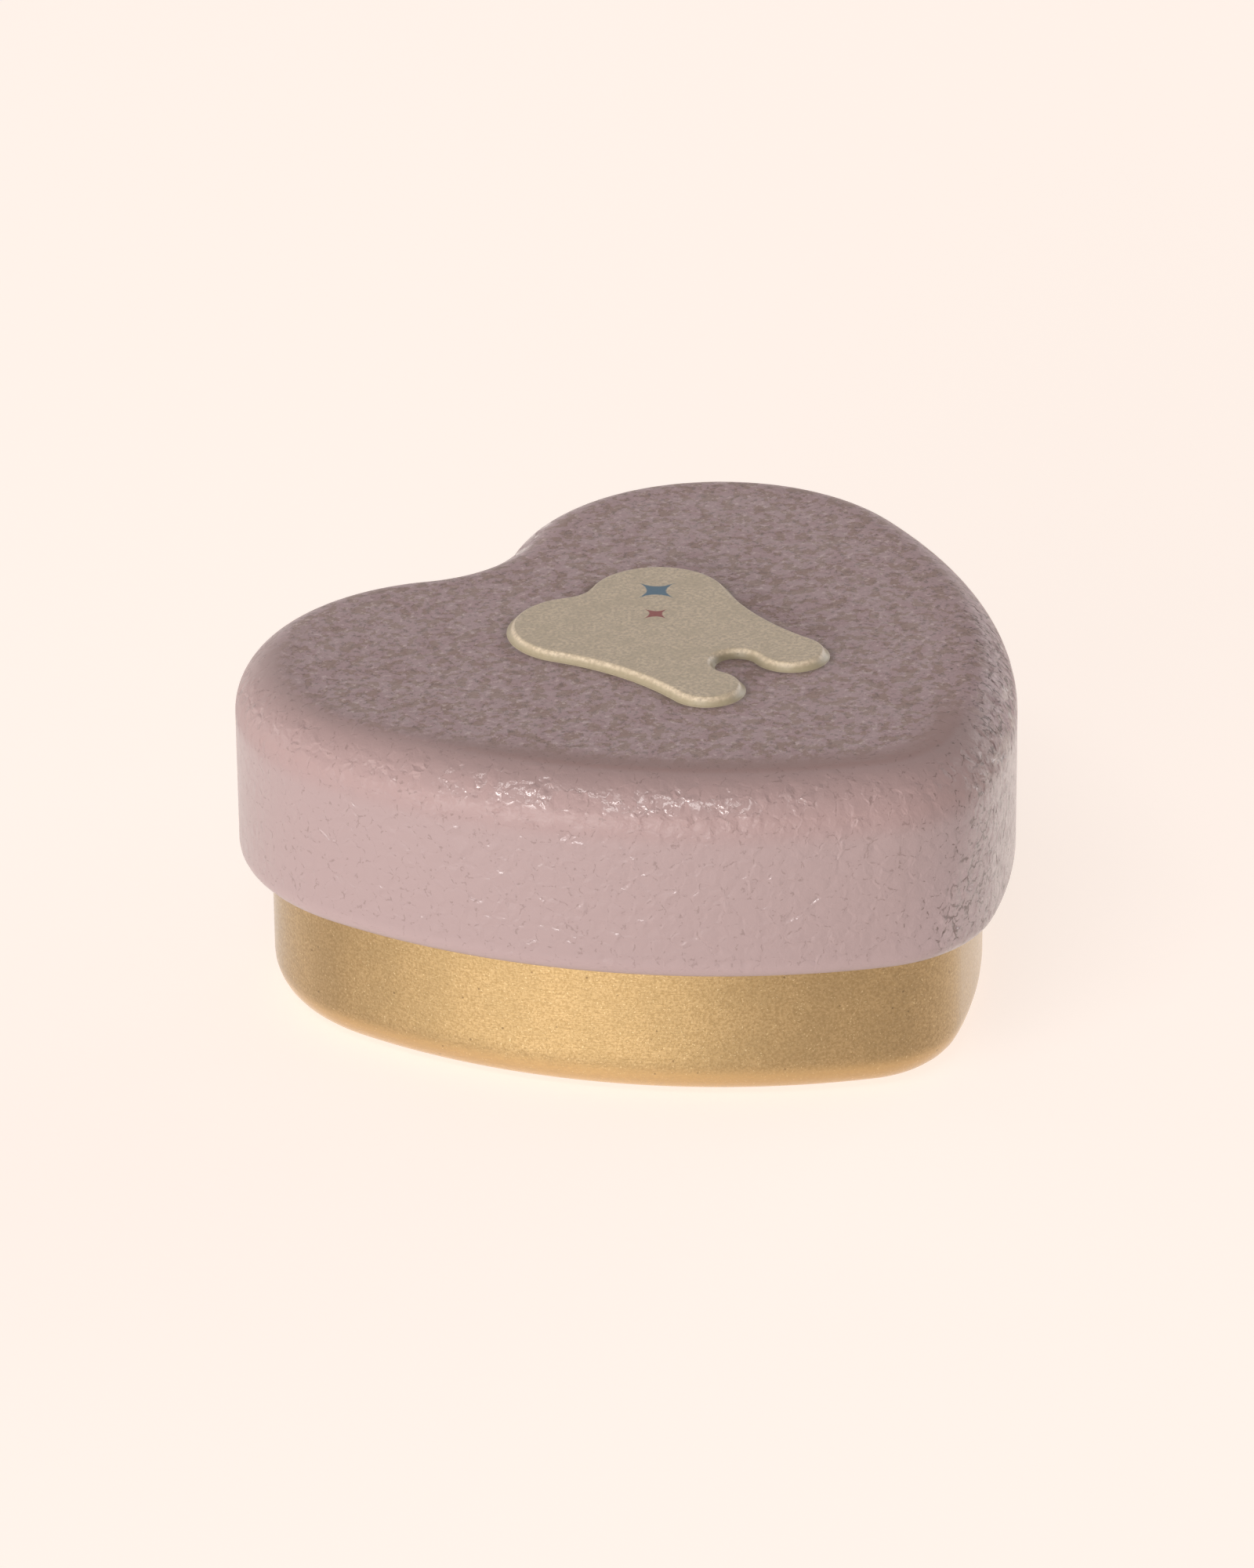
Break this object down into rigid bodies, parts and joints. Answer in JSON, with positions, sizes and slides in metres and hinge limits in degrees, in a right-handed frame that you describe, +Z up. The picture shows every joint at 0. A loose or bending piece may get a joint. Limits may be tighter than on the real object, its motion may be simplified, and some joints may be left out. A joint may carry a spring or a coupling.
{
  "type": "baby tooth box",
  "caption": "Heart-shaped slip-lid keepsake tin for milk teeth: pressed gold base with rolled rim, pink crackle-lacquered lid that lifts off, raised tooth badge on top.",
  "frame": {"origin": "under the middle of the lid's outline, on the surface that the tin stands on", "axes": "+Z up, the way the lid lifts off; the tip of the heart points to -Y and the cleft between its lobes to +Y"},
  "size_m": [0.06, 0.0554, 0.027],
  "materials": {
    "gold_lacquer": "satin gold lacquer on tinplate",
    "pink_crackle": "fine crackle lacquer, satin",
    "cream_enamel": "smooth satin enamel"
  },
  "bodies": {
    "base": {"base_shell": "gold_lacquer"},
    "lid": {"lid_shell": "pink_crackle", "tooth_emblem": "cream_enamel"}
  },
  "joints": [
    {"name": "lid_lift", "type": "slide", "parent": "base", "child": "lid", "axis": [0, 0, 1], "range_m": [0, 0.06]}
  ]
}
